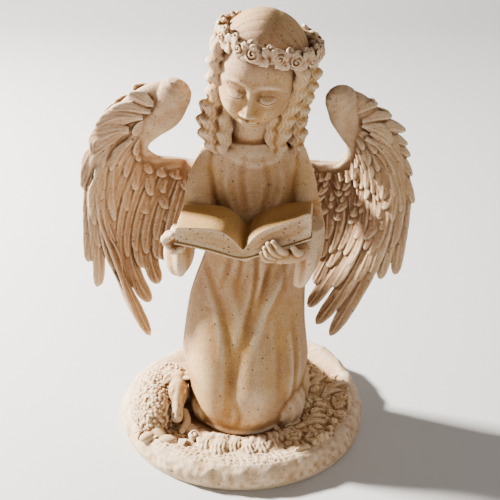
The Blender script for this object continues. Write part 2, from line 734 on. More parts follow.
# The open book: x, top and bottom height at its far edge, then at its near edge
BOOK = (
    (-39.6, 177.4, 168.2, 179.0, 167.6), (-36, 177.8, 167.6, 179.4, 166.9),
    (-26, 177.6, 165.6, 179.2, 164.6), (-16, 177.0, 163.0, 178.4, 161.8),
    (-8, 175.2, 160.2, 175.6, 159.2), (-2, 171.4, 158.4, 170.6, 157.2),
    (2, 167.6, 157.6, 165.8, 156.4), (4.2, 166.0, 157.4, 163.8, 156.2),
    (6.4, 167.8, 157.8, 166.2, 156.4), (11, 172.4, 159.2, 172.4, 157.6),
    (18, 176.6, 162.0, 177.4, 160.0), (28, 178.6, 165.2, 181.4, 163.6),
    (38, 179.4, 168.0, 185.4, 167.0), (45, 179.6, 169.8, 188.6, 169.6),
    (48.4, 179.2, 170.8, 189.2, 171.0),
)
# The y of its near and far edges, and how far x shifts from far to near
NEAR, FAR = -50.5, -8.5
SKEW = -3.2


def pages():
    """The two page blocks: rounded oblongs of y and z at each x across the book. An
    oblong's height at y blends the far edge's with the near edge's, its corners are
    eased in by 1 - sin^0.35, both ends close in a quarter circle, and a cosine of
    the height, 1.5 from leaf to leaf, grooves the edges of the pages."""
    x, far_top, far_low, near_top, near_low = (c[:, None] for c in spline(BOOK, 90).T)
    edge = 0.5 - 0.5 * np.cos(np.linspace(0, math.pi, 26))
    side = np.linspace(0, 1, 14)[1:-1]
    along = np.concatenate([edge, np.ones(12), edge[::-1], np.zeros(12)])
    high = np.concatenate([np.ones(26), 1 - side, np.zeros(26), side])
    corner = 1.2 * (1 - np.sin(math.pi * along) ** 0.35)
    along = NEAR + (FAR - NEAR) * along
    share = np.clip((FAR - along) / (FAR - NEAR), 0, 1)
    up = far_top + (near_top - far_top) * share
    low = far_low + (near_low - far_low) * share + 1.0
    z = low + (up - low) * high - 0.6 * corner * (2 * high - 1)
    ends = np.clip(np.minimum(np.arange(90), 89 - np.arange(90)) / 2.0, 0, 1)[:, None]
    close = np.sqrt(1 - (1 - ends) ** 2)
    z = (up + low) / 2 + (z - (up + low) / 2) * (0.35 + 0.65 * close)
    leaves = 0.10 * np.cos(TURN * (z - low) / 1.5) * (np.abs(high - 0.5) < 0.49)
    y = along - leaves * np.sign(share - 0.5) + 0 * x
    return skin(np.stack([x + SKEW * share, y, z], -1))


def book():
    """The two page blocks, the board under them and the round spine."""
    spine = tube([(5.6, -11, 158.8), (4.6, -29, 157.9), (2.8, -48.5, 156.6)],
                 [3.6, 3.8, 3.6], 40, 24, (0, 0, 1), 0.6)
    return together([pages(), board(), spine])


def board():
    """The cover board: the underside of the book, 1.5 thick and a little wider."""
    x, _, far_low, _, near_low = (c[:, None] for c in spline(BOOK, 70).T)
    x = x + 0.5 * np.clip((x - 4) / 20, -1, 1)
    edge = np.linspace(0, 1, 10)
    turn = np.radians(np.linspace(90, -90, 8)[1:-1])
    along = np.concatenate([edge, 1 + 0.02 * np.cos(turn), edge[::-1],
                            -0.02 * np.cos(turn)])
    high = np.concatenate([np.ones(10), 0.5 + 0.5 * np.sin(turn), np.zeros(10),
                           0.5 - 0.5 * np.sin(turn)])
    along = (NEAR - 0.7) + (FAR - NEAR + 1.4) * along
    share = np.clip((FAR - along) / (FAR - NEAR), -0.05, 1.05)
    z = far_low + (near_low - far_low) * share + 1.5 * high
    return skin(np.stack([x + SKEW * share, along + 0 * x, z], -1))


def finger(points, radii):
    """A finger: a bar that swells by a cosine at each joint."""
    steps = 40
    t = np.linspace(0, 1, steps)
    swell = 1 + 0.09 * np.cos(TURN * (1.5 * t + 0.1)) * np.sin(math.pi * t)
    return sweep(spline(points, steps), run(radii, steps) * swell, 20)


def hands():
    """One hand cradles the right block from below, its fingertips up against the
    near side; the other grips the left block's outer edge, thumb on top."""
    shapes = [
        tube([(45, -34, 161), (41, -43, 159.5), (33, -50, 158.6), (25, -51.5, 157.6)],
             [7, 6, 5, 4], 40),
        finger([(29.5, -52, 161), (24.8, -56, 165.4), (20.6, -54.2, 170.2)],
               [2.6, 2.2, 1.7]),
        finger([(26.5, -52.5, 159.6), (20.8, -56, 163.6), (17.2, -54.4, 169.0)],
               [2.5, 2.1, 1.7]),
        finger([(23.5, -52, 157.8), (17.8, -55.8, 161.2), (15.0, -54.2, 166.0)],
               [2.4, 2.0, 1.6]),
        finger([(21.5, -51.5, 156.4), (15.8, -54.8, 158.2), (13.0, -53.4, 162.2)],
               [2.3, 1.9, 1.5]),
        finger([(40, -46, 160.5), (36.6, -53.4, 162.2), (33, -54.6, 166.8)],
               [3.1, 2.5, 1.9]),
        ball((-43, -38, 164), (6.5, 9, 5.2)),
        finger([(-46.5, -38, 164.5), (-49.4, -45, 168), (-44.6, -49.4, 173.2)],
               [3.8, 3.3, 2.4]),
        tube([(-47.5, -37, 166), (-48, -45, 166)], [4.6, 3.8], 16),
    ]
    for k in range(4):
        y = -37 - 3.7 * k
        shapes.append(finger([(-47.8, y + 2, 164.8), (-45, y, 161.4),
                              (-36 - 1.2 * k, y - 1, 162.6)], [2.9, 2.6, 2.0]))
    return melted(shapes, 0.5, 2)


# ---------------------------------------------------------------- head

# The middle of the head, and by how many degrees it is swung round, tilted and bowed
HEAD_CENTRE = np.array([11.0, -10.0, 268.0])
HEAD_TURN = turned(-8, 10, 13)


def on_head(p):
    """Places points given on an upright head: turned, then moved to its middle."""
    return np.asarray(p, float) @ HEAD_TURN.T + HEAD_CENTRE


def nose(x, z):
    """A ridge whose height and half width follow splines from the bridge to the
    lip, a round tip, a wing at each side and two small dips below."""
    level = np.array([-16.6, -15.2, -14.0, -12.5, -10.5, -8, -5, -1.5, 2, 6, 9])
    high = np.array([0.0, 0.9, 3.4, 5.3, 5.5, 4.6, 3.4, 2.3, 1.5, 0.7, 0.0])
    wide = np.array([4.6, 4.6, 4.4, 4.2, 3.9, 3.5, 3.1, 2.9, 3.1, 4.0, 5.0])
    h = np.interp(z, level, high)
    w = np.interp(z, level, wide)
    ridge = h * hump(x, w)
    tip = 1.5 * bell(x, z, 0, -11.8, 2.9, 2.6)
    wings = 2.0 * (bell(x, z, 4.1, -12.7, 1.9, 2.0) + bell(x, z, -4.1, -12.7, 1.9, 2.0))
    holes = 1.2 * (bell(x, z, 2.1, -14.9, 1.1, 0.8) + bell(x, z, -2.1, -14.9, 1.1, 0.8))
    return ridge + tip + wings - holes


def mouth(x, z):
    """Two full, closed lips with a bow, a crease between them, tucked corners, a
    shallow channel above and a soft hollow beneath."""
    line = -20.8 - 0.35 * hump(x, 1.6) + 0.010 * x**2
    top = 2.1 - 0.5 * hump(x, 1.1) + 0.5 * bell(np.abs(x), 0, 1.9, 0, 1.3, 1)
    full = np.where(z > line + 0.9, 0.62 * top, 1.2)
    upper = 1.7 * hump(x, 6.2, 4) * hump(z - line - 0.9, full)
    lower = 2.0 * hump(x, 5.3, 4) * hump(z - line + 1.6, 1.45)
    seam = -1.15 * hump(x, 6.8, 6) * hump(z - line, 0.42)
    corners = -0.9 * bell(np.abs(x), z, 7.1, -20.4, 1.4, 1.3)
    channel = -0.5 * bell(x, z, 0, -17.6, 0.9, 1.5)
    under = -1.3 * bell(x, z, 0, -25.2, 4.6, 1.7)
    return upper + lower + seam + corners + channel + under


def eye(x, z):
    """A shallow socket and a smooth swelling in it. The upper lid's edge is a step
    on a sagging curve, low on the swelling; under it is a narrow slit, then the soft
    lower lid, and a faint crease runs over the top."""
    dx, dz = x - 10.4, z + 0.6
    socket = -2.4 * bell(x, z, 10.0, 2.4, 7.4, 4.6) - 1.2 * bell(x, z, 4.6, 1.0, 2.0, 3.2)
    swelling = 2.5 * np.exp(-(((dx / 6.0) ** 2 + (dz / 4.2) ** 2) ** 1.2))
    edge = -1.9 + 0.056 * dx**2 - 0.03 * dx
    wide = hump(dx, 5.6, 6)
    lid = 0.60 * ease(dz - edge, -0.14, 0.16) * (1 - ease(dz - edge, 0.8, 3.8)) * wide
    gap = -0.55 * hump(dz - edge + 0.40, 0.30) * hump(dx, 5.0, 4)
    lower = 0.22 * hump(dz - edge + 1.5 - 0.02 * dx**2, 0.7) * hump(dx, 4.6, 4)
    crease = -0.34 * hump(dz - 2.8 + 0.05 * dx**2, 0.5) * hump(dx, 5.4, 4)
    corner = -0.4 * bell(dx, dz, -5.5, -0.7, 0.9, 0.8)
    return socket + swelling + lid + gap + lower + crease + corner


def face_relief(x, z):
    """Everything that stands out from or sinks into the front of the head."""
    side = np.abs(x)
    d = nose(x, z) + mouth(x, z) + eye(side, z)
    d += 2.2 * bell(x, z, 0, -20, 9.0, 6.5)
    d += 2.4 * bell(x, z, 0, -30, 8.6, 4.8)
    d += 3.2 * bell(side, z, 13.5, -12.5, 8.0, 8.0)
    brow = 8.0 - 0.030 * (side - 9.5) ** 2
    d += 1.1 * hump(z - brow, 2.1) * bell(side, 0, 11, 0, 7.0, 1)
    d += 1.2 * bell(x, z, 0, 17, 17, 9)
    return d


def face():
    """The head without hair, as distances from its centre, each the sum of |x / a|^p,
    |y / b|^p and |z / 34|^p to the power -1 / p: a rounded block narrowed towards the
    chin, its front half carrying the features, with points closer together in front."""
    t = np.linspace(-1, 1, 196)
    lon = (math.pi * (0.38 * t + 0.62 * t**3))[None, :-1]
    s = np.linspace(-1, 1, 166)[1:-1, None]
    lat = math.pi / 2 * (0.62 * s + 0.38 * s**3) - 0.2 * (1 - s**2)
    out = np.stack([np.sin(lon) * np.cos(lat), -np.cos(lon) * np.cos(lat),
                    np.sin(lat) + 0 * lon], -1)
    jaw = ease(-out[..., 2], 0.25, 1.05)
    a = 26.4 * (1 - 0.20 * jaw)
    b = 28.5 * (1 - 0.04 * jaw)
    power = 2.15
    r = (np.abs(out[..., 0] / a) ** power + np.abs(out[..., 1] / b) ** power
         + np.abs(out[..., 2] / 34.0) ** power) ** (-1 / power)
    p = out * r[..., None]
    front = ease(-out[..., 1], 0.05, 0.5)
    p[..., 1] -= front * face_relief(p[..., 0], p[..., 2])
    return skin(on_head(p))


def strands(p):
    """Fine combed grooves that run down to each side from a parting over the crown,
    drawn in so far in front, below the wreath, that the forehead shows."""
    q = unit(p)
    fall = np.arctan2(q[..., 1] * 0.9 + 0.25, q[..., 2])
    side = np.abs(q[..., 0] - 0.16)
    wander = noise(q * 10, 6.0, 3)
    groove = np.abs(np.sin(15 * fall + 1.0 * wander + 2.2 * side)) ** 0.7
    finer = np.abs(np.sin(41 * fall + 2 * wander + 4 * side))
    parting = -0.22 * hump(side, 0.06) * ease(q[..., 2], 0.5, 0.9)
    swell = 0.15 * np.sin(5 * fall + 3 * side) * ease(side, 0.0, 0.3)
    brow = ease(-q[..., 1], 0.1, 0.5) * ease(0.50 - q[..., 2], 0.0, 0.20)
    return (ease(side, 0.02, 0.3) * (0.24 * groove + 0.16 * finer) + swell + parting
            - 7 * brow)


def lock(points, radii, waves, lean, sway=(1.7, 1.7, 1.7)):
    """A wavy lock: a bar whose rings are shifted sideways, away from the head and
    back, by sway (sin p + 0.2 sin 2p), and swell a little at each outward wave. Fine
    grooves run its whole length and weave a quarter of a wave behind."""
    steps = int(26 * waves)
    t = shares(steps)
    phase = TURN * waves * t + lean
    path = spline(points, steps)
    away = (path - HEAD_CENTRE - [0, 8, 0]) * [1, 0.3, 0]
    facing = np.arctan2(-away[:, 1], -away[:, 0])[:, None]
    around = bearings(80)
    swing = 0.85 * (np.sin(phase) + 0.2 * np.sin(2 * phase))
    strand = 6 * (around + 0.22 * np.cos(phase) + 0.25 * np.sin(0.23 * phase + lean))
    groove = 0.13 * (1 - np.abs(np.sin(strand))) ** 1.5 \
        + 0.045 * (1 - np.abs(np.sin(2.7 * strand + 1))) ** 1.5
    size = run(radii, steps)[:, None] * (1 + 0.04 * swing)
    shift = run(sway, steps)[:, None] * ease(t, 0, 0.12) * swing * np.cos(around - facing)
    return sweep(path, size * (1 - groove) + shift, 80, (0, -1, 0), 0.9)


# The locks beside the face: line, radii, number of waves, phase and sway
SIDE_LOCKS = (
    (((-14, -21, 290), (-16, -19.5, 277), (-15.5, -17, 262), (-19, -12, 245),
      (-20, -9, 231), (-17, -7, 217)), (4.4, 4.9, 4.9, 6.0, 6.6, 4.0), 7.6, 0.2,
     (1.9, 1.9, 0.8)),
    (((-15, -9, 290), (-16.5, -8, 272), (-17, -6, 256), (-22, -3, 241), (-22, -1, 227),
      (-18, 2, 213)), (4.8, 5.4, 5.4, 6.2, 6.6, 4.2), 7.6, 0.7, (1.9, 1.9, 1.0)),
    (((-9, -17, 254), (-10, -15, 241), (-11, -13, 229), (-12, -11, 218)),
     (2.4, 4.4, 5.2, 3.8), 3.2, 0.9, (0.8, 0.8, 0.8)),
    (((36, -33, 286), (38, -29, 270), (34, -23, 256), (30, -18, 243), (27, -15, 230),
      (25, -12, 217)), (4.2, 4.8, 5.0, 5.2, 5.2, 3.6), 6.2, 2.0, (0.9, 0.9, 0.9)),
    (((44, -20, 281), (45.5, -16, 270), (42.5, -14, 261), (39, -11, 249),
      (36.5, -8, 237), (37, -5, 225), (35, -2, 212)),
     (4.4, 5.2, 5.4, 5.6, 5.8, 5.8, 4.0), 7.6, 0.8),
    (((43, -6, 282), (43, -3, 266), (40, 0, 250), (37, 4, 234), (36, 6, 210)),
     (5.0, 5.6, 5.8, 6.0, 4.2), 7.6, 1.4),
    (((23, -19, 251), (21, -15.5, 240), (20, -13, 229), (21, -11, 218)),
     (2.4, 4.4, 5.0, 3.8), 3.2, 2.0, (0.8, 0.8, 0.8)),
)


def hair():
    """The combed cap, the mass behind the neck, plain bars that fill the hair out at
    both sides, and wavy locks to the shoulders over them and all round the back."""
    cap = ball((0, 0, 0), (30.0, 32.0, 32.5), rows=130, columns=260, relief=strands)
    shapes = [(on_head(cap[0] + [0.5, 4, 10]), cap[1])]
    nape = ball((0, 17, -14), (27.0, 19.5, 27), rows=40, columns=60)
    shapes.append((on_head(nape[0]), nape[1]))
    shapes += [tube([(-7, 4, 276), (-8, 6, 246), (-9, 9, 218)], [7, 7.5, 6.5]),
               tube([(-14, -12, 266), (-15, -11, 252), (-15, -9, 238)], [4, 4.6, 4]),
               tube([(35, 2, 270), (32, 5, 244), (28, 9, 214)], [8, 9.5, 8])]
    shapes += [lock(*side) for side in SIDE_LOCKS]
    for k in range(9):
        angle = math.radians(6 + 21 * k)
        x, y = 13 + 27 * math.cos(angle), 1 + 23 * math.sin(angle)
        end = 214 - 6 * math.sin(angle) + 3 * math.cos(2.4 * k)
        shapes.append(lock([(x, y - 3, 282), (x, y + 3, 264), (10 + 0.96 * (x - 10), y + 5,
                            246), (10 + 0.9 * (x - 10), y + 2, end)],
                           [5.0, 6.4, 6.4, 4.0], 6.4 + 0.7 * math.sin(1.9 * k), 2.4 * k))
    return melted(shapes, 0.60, 2)


# ---------------------------------------------------------------- wreath

# The middle of the wreath, and by how many degrees it is tilted and bowed
WREATH_CENTRE = np.array([18.0, -11.0, 291.5])
WREATH_TURN = turned(0, 12, 5)


def ray(angle, far, z):
    """A place from its bearing in radians, distance from the middle and height."""
    return np.array([far * math.cos(angle), far * math.sin(angle), z])


def rose(centre, out, size, lean, winds=2.2):
    """A rose from outside: a low dome with one ridge winding out of its middle. The
    ridge's height is (half + half cos(winds x radius - angle)) to the power 1.5."""
    out = unit(np.asarray(out, float))
    side = unit(np.cross(out, [0.1, 0.2, 1.0]))
    up = np.cross(side, out)
    fine = 1.0 if size > 4 else 0.62
    r = np.linspace(0.03, 1, int(26 * fine))[:, None]
    angle = bearings(int(40 * fine))
    wind = TURN * winds * r**0.9 - angle + lean
    petal = (0.5 + 0.5 * np.cos(wind)) ** 1.5
    edge = 1 + 0.03 * np.cos(5 * angle + lean) * r**2
    high = size * (0.42 * np.sqrt(1 - 0.97 * r**2) + 0.42 * petal * (1 - 0.45 * r))
    wide = size * r * edge
    back = np.array([[0.96], [0.8], [0.4]])
    high = np.vstack([high, -size * np.array([[0.12], [0.34], [0.44]]) + 0 * angle])
    wide = np.vstack([wide, size * back * edge[-1]])
    ring = np.cos(angle)[..., None] * side + np.sin(angle)[..., None] * up
    return skin(laid(np.asarray(centre), (wide, ring), (high, out)))


def leaf(base, tip, up, width, thick, bend):
    """A pointed oval blade from base to tip: half width sin(pi s^0.8)^0.8, a groove
    down the middle, slanting veins, arched by bend sin(pi s)."""
    base, tip = np.asarray(base, float), np.asarray(tip, float)
    along = tip - base
    side = unit(np.cross(along, up))
    up = unit(np.cross(side, along))
    s = np.linspace(0.02, 0.98, 15)[:, None]
    angle = bearings(18)
    half = width / 2 * np.sin(math.pi * s**0.8) ** 0.8
    across = half * np.cos(angle)
    vein = 0.18 * np.abs(np.sin(9 * s * math.pi / 2 - 1.6 * np.abs(across) / width * 4))
    rise = thick / 2 * np.sin(angle) * np.minimum(1, half * 3 / width)
    rise = rise - 0.5 * hump(across, 0.10 * width) * (np.sin(angle) > 0)
    rise = rise + bend * np.sin(math.pi * s) + vein * (np.sin(angle) > 0)
    return skin(laid(base, (s, along), (across, side), (rise, up)))


def on_wreath(p):
    """Places points given on a level wreath: turned, then moved to its middle."""
    return np.asarray(p, float) @ WREATH_TURN.T + WREATH_CENTRE


def wreath():
    """Roses round a ring, each facing out and a little up or down, small buds over
    and under the gaps between them and pointed leaves tucked above and below, all
    melted together."""
    angle = bearings(200).T
    section = bearings(18)
    radius = 4.0 + 0.5 * np.cos(3 * section - 14 * angle)
    ring = np.stack([(30 + radius * np.cos(section)) * np.cos(angle),
                     (30 + radius * np.cos(section)) * np.sin(angle),
                     radius * 1.2 * np.sin(section)], -1)
    shapes = [band(on_wreath(ring))]
    count = 16
    for k in range(count):
        a = TURN * (k + 0.35) / count + 0.05 * math.sin(2.7 * k)
        out = ray(a, 1, 0.12 + 0.22 * math.sin(1.9 * k))
        size = 5.0 + 0.7 * math.sin(3.1 * k)
        spot = ray(a, 32.4, math.sin(2.2 * k))
        shapes.append(rose(on_wreath(spot), out @ WREATH_TURN.T, size, 1.7 * k))
        b = TURN * (k + 0.85) / count
        for side, far, size in ((1, 31.4, 2.7), (-1, 32.6, 2.4)):
            c = b + 0.05 * side
            out = ray(c, 1, 0.9 * side)
            shapes.append(rose(on_wreath(ray(c, far, 5.0 * side)), out @ WREATH_TURN.T,
                               size, k, 1.4))
        for side, reach, turn in ((1, 6.4, 0.12), (-1, 6.6, 0.12), (1, 5.6, -0.16),
                                  (-1, 6.0, -0.15), (1, 3.2, 0.2), (-1, 2.6, -0.2)):
            c = b + 0.06 * side
            facing = ray(c, 1, 0.2 * side)
            shapes.append(leaf(on_wreath(ray(c, 33.0, 0)),
                               on_wreath(ray(c + turn, 33.8, side * reach)),
                               facing @ WREATH_TURN.T, 5.6, 1.8, 0.8))
    return melted(shapes, 0.46)


# ---------------------------------------------------------------- wings

# Guide shafts from the innermost feather to the outermost, each given at the leading
# edge, twice along the blade, and at the tip
RIGHT_WING = (
    ((47, 38, 184), (51, 37, 162), (53, 35, 138), (54, 32, 112)),
    ((60, 37, 185), (68, 34, 162), (66, 31, 132), (53, 30, 97)),
    ((74, 32, 189), (84, 27, 163), (75, 25, 127), (49, 27, 79)),
    ((80, 22, 206), (91, 17, 175), (86, 16, 131), (54, 24, 67)),
    ((76, 12, 221), (96, 9, 190), (97, 10, 142), (65, 20, 57)),
    ((68, 2, 235), (100, 5, 206), (104, 6, 159), (95, 14, 100)),
    ((62, -5, 250), (101, 4, 221), (111, 6, 167), (108, 12, 108)),
)
LEFT_WING = (
    ((-37, 38, 185), (-45, 37, 163), (-52, 35, 134), (-58, 32, 116)),
    ((-51, 37, 188), (-61, 34, 163), (-68, 31, 132), (-62, 30, 97)),
    ((-66, 32, 193), (-75, 27, 166), (-82, 25, 127), (-65, 27, 79)),
    ((-73, 22, 208), (-84, 17, 179), (-92, 16, 131), (-76, 24, 65)),
    ((-65, 12, 226), (-89, 9, 197), (-95, 10, 150), (-69, 20, 57)),
    ((-49, 2, 239), (-91, 5, 216), (-99, 6, 163), (-98, 14, 101)),
    ((-40, -5, 253), (-88, 4, 229), (-102, 6, 170), (-104, 12, 105)),
)
# Radius of the leading edge from the shoulder blade to the lobe, and of the ridge
# that leaves the lobe and runs down inside the outer edge
RIGHT_EDGE = (10, 8, 6.2, 5.4, 5.8, 7.4, 9.4, 10.8, 11.0)
LEFT_EDGE = (10, 8.4, 6.6, 6.0, 6.6, 8.4, 10.6, 12.0, 12.0)
RIGHT_RIDGE = ((1.0, 0.03, 8.6), (0.985, 0.09, 8.6), (0.95, 0.15, 7.6), (0.91, 0.24, 5.8),
               (0.87, 0.38, 4.4), (0.83, 0.58, 2.8))
LEFT_RIDGE = ((1.0, 0.02, 9.6), (0.99, 0.08, 9.8), (0.955, 0.15, 8.8), (0.91, 0.22, 6.8),
              (0.86, 0.36, 4.8), (0.78, 0.56, 3.2))
# Outer feathers: root (u, v), tip (u, v), how far root and tip pass the edge, width,
# and how far root and tip stand off the wing
RIGHT_OUTER = (
    (0.90, 0.45, 1.0, 0.64, 0, 8.5, 12, 3.0, 0.2), (0.90, 0.36, 1.0, 0.525, 0, 7.5, 11, 3.6, 0.6),
    (0.90, 0.29, 1.0, 0.44, 0, 8, 10, 4.2, 1.0), (0.90, 0.24, 1.0, 0.385, 0, 8.5, 9, 4.8, 1.4),
    (0.91, 0.17, 1.0, 0.325, 0, 10.5, 11, 5.4, 2.0), (0.93, 0.10, 1.0, 0.235, 0, 8.5, 10, 6.0, 2.6),
    (0.95, 0.05, 1.0, 0.15, 0, 8.5, 9, 5.6, 3.0),
    (0.86, 0.34, 0.95, 0.66, 0, 1, 13, 3.8, 1.4), (0.86, 0.24, 0.96, 0.55, 0, 1, 13, 4.8, 2.0),
    (0.87, 0.15, 0.97, 0.44, 0, 1, 13, 5.6, 2.8), (0.90, 0.10, 0.97, 0.33, 0, 1, 12, 6.4, 4.0),
    (0.79, 0.36, 0.86, 0.68, 0, 0, 11, 3.2, 2.0), (0.78, 0.22, 0.87, 0.56, 0, 0, 11, 4.2, 2.8),
    (0.80, 0.12, 0.88, 0.45, 0, 0, 11, 5.2, 3.6),
)
LEFT_OUTER = (
    (0.78, 0.40, 0.88, 0.72, 0, 3, 15, 3.0, 0.6), (0.88, 0.34, 1.0, 0.605, 0, 9.5, 18, 4.6, 1.8),
    (0.80, 0.16, 0.99, 0.465, 0, 6, 18, 6.0, 3.4), (0.92, 0.26, 1.0, 0.41, 0, 7, 9, 3.2, 0.4),
    (0.88, 0.10, 1.0, 0.36, 0, 8.5, 15, 8.0, 4.4), (0.94, 0.08, 1.0, 0.255, 0, 8.5, 11, 9.0, 5.4),
    (0.72, 0.14, 0.71, 0.37, 0, 0, 10, 4.0, 4.0), (0.70, 0.32, 0.56, 0.55, 0, 0, 12, 3.6, 3.6),
    (0.74, 0.32, 0.84, 0.60, 0, 0, 14, 3.6, 2.2), (0.97, 0.07, 1.0, 0.155, 2, 10.5, 12, 9.0, 7.0),
)


def shaft(guides, u, v):
    """The wing's surface: at each u the guides are splined across, and v runs down
    the cubic through their four points, at v = 0, 1/3, 2/3 and 1."""
    a, b, c, d = (at([guide[k] for guide in guides], u) for k in range(4))
    v = np.asarray(v, float)[:, None]
    return (a * (1 - 3 * v) * (2 - 3 * v) * (1 - v) / 2
            + b * 9 * v * (2 - 3 * v) * (1 - v) / 2
            + c * 9 * v * (3 * v - 1) * (1 - v) / 2
            + d * v * (3 * v - 1) * (3 * v - 2) / 2)


def feather(guides, u, v, width, thick, lift, twist, reach, taper, blunt, groove,
            cup=0.0, out=(0, 0), root=0.8, steps=50, around=36):
    """A plate laid on the wing from one place (u, v) to another, lift off its
    surface at the root and at the tip. Half its width is the width / 2, less the
    taper, times the root of 1 - t^2.4 past the blunt point. Across it is a flat oval
    with a raised rib, and its grooves run lengthways, leaning out from the rib.
    reach draws the tip on along its own line, out carries root and tip sideways
    towards the wing's outer edge, and cup bends its edges down."""
    s = np.linspace(0, 1, steps)
    us, vs = u[0] + (u[1] - u[0]) * s, v[0] + (v[1] - v[0]) * s
    line = shaft(guides, us, vs)
    across = (shaft(guides, np.minimum(us + 0.012, 1), vs)
              - shaft(guides, np.maximum(us - 0.012, 0), vs))
    down = unit(shaft(guides, us, np.minimum(vs + 0.02, 1)) - shaft(guides, us, vs - 0.02))
    outward = unit(across - down * np.sum(across * down, axis=1)[:, None])
    line = line + (out[0] + (out[1] - out[0]) * s**1.5)[:, None] * outward
    line = line + (reach * s**2)[:, None] * unit(line[-1] - line[-4])
    along = unit(np.gradient(line, axis=0))
    across = unit(across - along * np.sum(across * along, axis=1)[:, None])
    normal = np.cross(along, across)
    across, normal = (math.cos(twist) * across + math.sin(twist) * normal,
                      math.cos(twist) * normal - math.sin(twist) * across)
    gone = np.linalg.norm(np.diff(line, axis=0), axis=1).sum() * s[:, None]
    end = np.sqrt(1 - (np.clip(s - blunt, 0, 1) / (1 - blunt)) ** 2.4 + 1e-6)
    half = width / 2 * (1 - taper * ease(s, 0.4, 1)) * end * np.minimum(1, root + 1.6 * s)
    half = np.maximum(half, 0.3)[:, None]
    angle = bearings(around)
    side, face = half * np.cos(angle), np.sin(angle)
    body = thick / 2 * np.minimum(1, half / (0.14 * width)) \
        * np.sign(face) * np.abs(face) ** 0.6
    rib = 0.45 * hump(side, 0.7) * np.sign(face) * end[:, None]
    depth, pitch = groove
    lean = np.abs(side) - 0.13 * gone + 0.35 * np.sin(gone / 6.0 + 9 * u[0])
    cut = 1 - np.abs(np.sin(math.pi * lean / pitch)) ** 0.8
    high = body + rib - depth * cut * np.sign(face) * ease(np.abs(side), 0.3, 1.0)
    high = high + lift[0] + (lift[1] - lift[0]) * s[:, None] ** 1.4
    high = high - cup * (side / width * 2) ** 2
    return skin(laid(line[:, None], (side, across[:, None]), (high, normal[:, None])))


def web(guides):
    """The solid sheet under the feathers: the wing's surface from the leading edge
    to three fifths down, 3.6 mm thick and thinning towards its rim."""
    u = np.linspace(0.02, 0.98, 60)
    v = np.linspace(0.0, 0.62, 40)
    grid = np.stack([shaft(guides, np.full(40, k), v) for k in u])
    normal = unit(np.cross(np.gradient(grid, axis=1), np.gradient(grid, axis=0)))
    rim = np.minimum(ease(u, 0.0, 0.10) * ease(-u, -1.0, -0.90), 1)[:, None, None]
    half = 1.8 * rim * normal
    return skin(np.concatenate([grid + half, (grid - half)[:, ::-1]], axis=1))


# Where across the wing the long feathers and the middle ones between them start
LONG = (0.02, 0.17, 0.34, 0.52, 0.67, 0.87, 0.98)
MIDDLE = (0.09, 0.25, 0.43, 0.60, 0.76, 0.92)
# Where along the guides each long feather stops, and how far its tip is carried out
RIGHT_ENDS = ((0.92, 0), (1.0, 0), (1.0, 0), (1.0, 0), (1.0, 0), (0.97, 0), (0.96, 3))
LEFT_ENDS = ((0.97, 0), (1.0, 0), (0.97, 0), (1.0, 0), (1.0, 0), (1.02, 4), (0.89, 7))


def long_feathers(guides, f, ends):
    """The seven long feathers, narrowing to blunt points, each turned a little so
    that one edge lies over the next, and two sets of shorter ones laid between them
    on the front. f is 1 where the normal points forwards, else -1; ends says where
    along the guides each stops and how far its tip is carried out."""
    shapes = []
    for u, (last, past) in zip(LONG, ends):
        narrow = 0.55 if u > 0.8 else 1.0
        shapes.append(feather(guides, (u, u), (0.30, last), 17.0 * (0.5 + 0.5 * narrow),
                              2.8, (-0.6 * f, 0), 0.17 * f, 0, 0.36, 0.88, (0.5, 2.2),
                              out=(0, past), root=0.7 * narrow, steps=70))
    for k, u in enumerate(MIDDLE):
        shapes.append(feather(guides, (u, u), (0.12, 0.86 - 0.04 * (k % 2)), 14.0, 2.4,
                              (1.2 * f, 1.0 * f), 0.20 * f, 0, 0.30, 0.84, (0.5, 2.0),
                              root=0.5 if u > 0.8 else 0.8, steps=60))
    for k in range(10):
        u = 0.03 + 0.086 * k
        shapes.append(feather(guides, (u - 0.02, u), (0.10, 0.71 + 0.04 * math.sin(4 * k)),
                              10.5, 2.2, (2.4 * f, 2.0 * f), 0.24 * f, 0, 0.15, 0.74,
                              (0.45, 1.8), around=32))
    return shapes


def inner_coverts(guides, f, side, ruffle, size):
    """Rows of leaf-shaped feathers over the inner four fifths, on the front
    (side 1) or the back (side -1). Each row lies over the one below it, and its
    tips turn up off the wing by an amount that changes from one to the next. size
    widens them all; past 1.3 every other row is left out."""
    shapes = []
    rows = ((0.58, 11.0, 6), (0.50, 10.0, 7), (0.42, 9.2, 8), (0.34, 8.4, 9),
            (0.26, 8.0, 9), (0.18, 7.6, 10), (0.10, 7.6, 10))
    off = f * side
    for row, (end, width, count) in enumerate(rows[::2] if size > 1.3 else rows):
        count = round(count / size)
        step = 0.9 if size > 1.3 else 0.45
        for k in range(count):
            u = (k + 0.5 * (row % 2) + 0.25) / count * 0.80
            wild = math.sin(5.1 * k + 2.3 * row)
            stop = end * (0.86 + 0.26 * u) + 0.012 * wild + 0.02
            base = 2.0 + step * row
            shapes.append(feather(
                guides, (u + 0.01, u - 0.02 + 0.02 * math.cos(2.6 * k + 1.7 * row)),
                (max(0.02, stop - 0.15 * size), stop), width * size * (1 + 0.15 * wild), 2.2,
                (off * (base - 1.2), off * (base + ruffle * (1.3 + 1.0 * wild))),
                off * (0.16 + 0.24 * ruffle * math.sin(3.3 * k + row)), 0.5,
                0.18, 0.45, (0.42, 1.45 * size), off * 1.2, (0, 0), 0.7, 26, 26))
    return shapes


